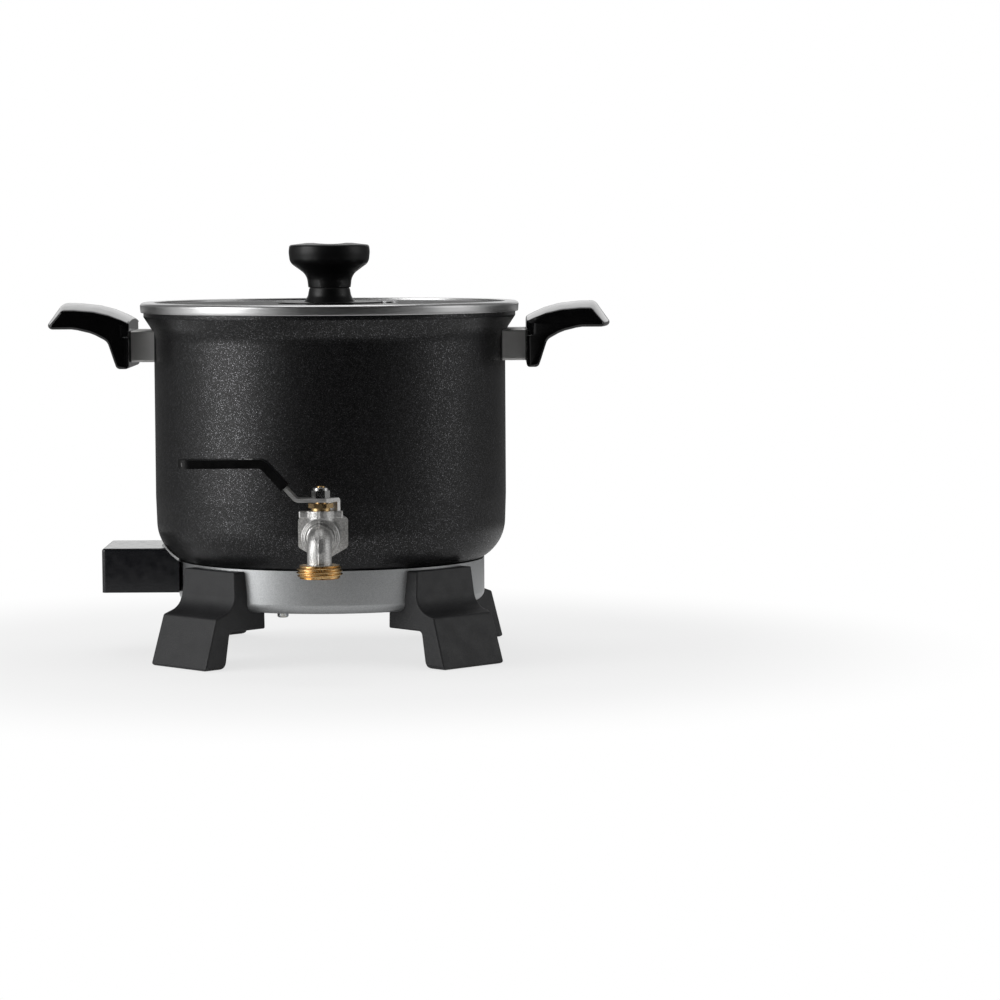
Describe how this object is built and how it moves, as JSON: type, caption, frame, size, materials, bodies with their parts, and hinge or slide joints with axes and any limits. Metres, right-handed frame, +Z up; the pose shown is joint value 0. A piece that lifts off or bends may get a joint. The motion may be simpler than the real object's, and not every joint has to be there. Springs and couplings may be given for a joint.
{
  "type": "wax melter",
  "caption": "Electric candle wax melter: a round lidded pot with side grips and a lever-operated pouring tap, standing on a footed hot plate with a side control box.",
  "frame": {"origin": "on the pot's axis, on the surface that the four feet stand on", "axes": "+Z up along the pot's axis; the tap points along -Y; the control box points along -X and the two grips along -X and +X"},
  "size_m": [0.345, 0.2854, 0.25],
  "materials": {
    "pan_paint": "satin silver-grey paint",
    "plate_alloy": "cast, machined top",
    "sheath_steel": "heat-dulled sheath",
    "shield_alloy": "bright sheet",
    "zinc_steel": "zinc plated",
    "foot_plastic": "moulded, fine texture",
    "box_plastic": "moulded, smooth satin",
    "black_rubber": "matt",
    "white_sleeve": "silicone-coated glass sleeve",
    "cream_ceramic": "unglazed",
    "switch_plastic": "moulded phenolic",
    "lamp_red": "translucent lens",
    "knob_plastic": "moulded phenolic",
    "pot_coat": "black non-stick coat with fine metallic fleck",
    "guard_steel": "brushed stainless",
    "rivet_alloy": "bright",
    "valve_nickel": "nickel plated brass",
    "valve_brass": "machined",
    "seat_ptfe": "PTFE",
    "lever_steel": "plated pressed steel",
    "lever_vinyl": "dipped vinyl",
    "nut_nylon": "nylon ring",
    "lid_glass": "clear toughened",
    "lid_steel": "polished stainless"
  },
  "bodies": {
    "base": {"base_pan": "pan_paint", "heating_plate": "plate_alloy", "heating_element": "sheath_steel", "heat_shield": "shield_alloy", "shield_spacers": "zinc_steel", "pan_screws": "zinc_steel", "plate_stud": "zinc_steel", "plate_nut": "zinc_steel", "sensor_bulb": "sheath_steel", "thermal_fuse": "cream_ceramic", "foot_front_left": "foot_plastic", "foot_front_right": "foot_plastic", "foot_rear_left": "foot_plastic", "foot_rear_right": "foot_plastic", "foot_screws": "zinc_steel", "control_housing": "box_plastic", "control_cover": "box_plastic", "cover_screws": "zinc_steel", "housing_screws": "zinc_steel", "wire_grommet": "black_rubber", "element_leads": "white_sleeve", "terminal_block": "cream_ceramic", "thermostat": "switch_plastic", "thermostat_nut": "zinc_steel", "pilot_lens": "lamp_red", "cord_bush": "black_rubber"},
    "dial": {"dial_knob": "knob_plastic", "dial_shaft": "zinc_steel"},
    "pot": {"pot_shell": "pot_coat", "flame_guard_left": "guard_steel", "flame_guard_right": "guard_steel", "grip_left": "knob_plastic", "grip_right": "knob_plastic", "handle_brackets": "zinc_steel", "handle_rivets": "rivet_alloy", "handle_screws": "zinc_steel", "handle_nuts": "zinc_steel", "tap_outer_seal": "black_rubber", "tap_wall_nut": "valve_nickel", "tap_inner_seal": "black_rubber", "tap_inner_washer": "valve_nickel", "tap_lock_nut": "valve_nickel", "tap_inlet": "valve_nickel", "tap_body": "valve_nickel", "tap_seats": "seat_ptfe", "stem_packing": "seat_ptfe", "tap_gland": "valve_brass"},
    "lever": {"tap_ball": "valve_nickel", "tap_stem": "valve_brass", "tap_lever": "lever_steel", "lever_sleeve": "lever_vinyl", "lever_nut": "lever_steel", "nut_insert": "nut_nylon"},
    "lid": {"lid_glass": "lid_glass", "lid_rim": "lid_steel", "knob_collar": "knob_plastic", "lid_knob": "knob_plastic", "knob_screw": "zinc_steel", "knob_washer": "zinc_steel", "vent_eyelet": "lid_steel"}
  },
  "joints": [
    {"name": "dial_turn", "type": "hinge", "parent": "base", "child": "dial", "pos_m": [-0.122, 0.037, 0.0528], "axis": [0, -1, 0], "range_deg": [0, 270]},
    {"name": "pot_lift", "type": "slide", "parent": "base", "child": "pot", "axis": [0, 0, 1], "range_m": [0, 0.12]},
    {"name": "lever_turn", "type": "hinge", "parent": "pot", "child": "lever", "pos_m": [0, -0.136, 0.103], "axis": [0, 0, 1], "range_deg": [0, 90]},
    {"name": "lid_lift", "type": "slide", "parent": "pot", "child": "lid", "axis": [0, 0, 1], "range_m": [0, 0.12]}
  ]
}
